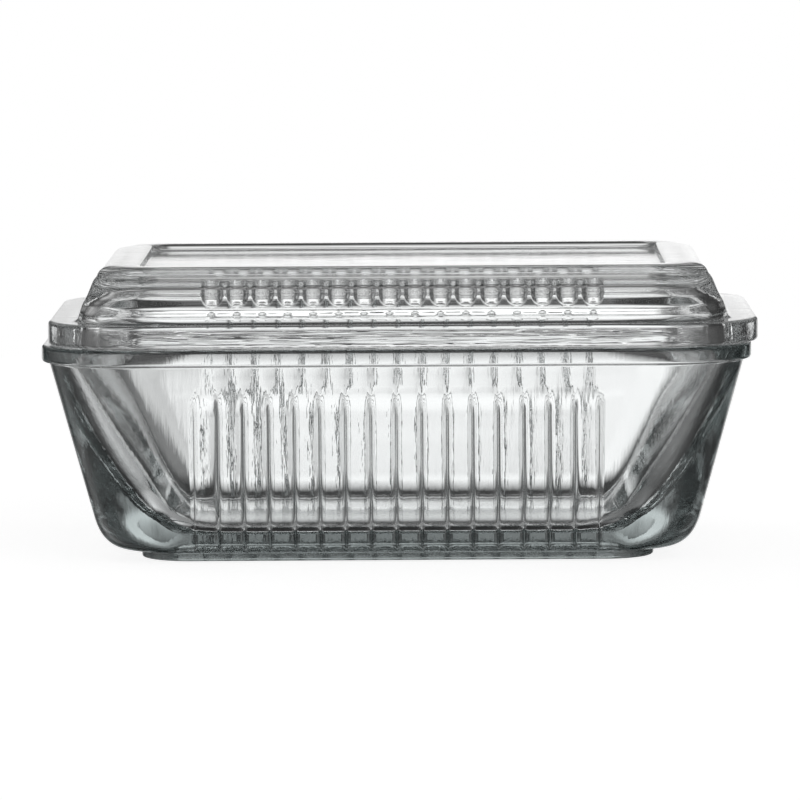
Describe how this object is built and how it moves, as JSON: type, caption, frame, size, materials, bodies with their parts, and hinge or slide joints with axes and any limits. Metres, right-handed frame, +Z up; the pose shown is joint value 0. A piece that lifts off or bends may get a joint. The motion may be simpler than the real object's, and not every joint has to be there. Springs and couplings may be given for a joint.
{
  "type": "butter dish",
  "caption": "Rectangular pressed-glass butter dish with ribbed walls and a lift-off lid that has finger channels and a recessed top.",
  "frame": {"origin": "on the surface the dish stands on, in the middle of the whole object's outline", "axes": "+X along the length, -Y the front, +Z up"},
  "size_m": [0.1748, 0.103, 0.0722],
  "materials": {
    "dish_glass": "clear pressed glass, fire polished",
    "lid_glass": "clear pressed glass, fire polished"
  },
  "bodies": {
    "dish": {"dish": "dish_glass"},
    "lid": {"lid": "lid_glass"}
  },
  "joints": [
    {"name": "lid_lift", "type": "slide", "parent": "dish", "child": "lid", "axis": [0, 0, 1], "range_m": [0, 0.12]}
  ]
}
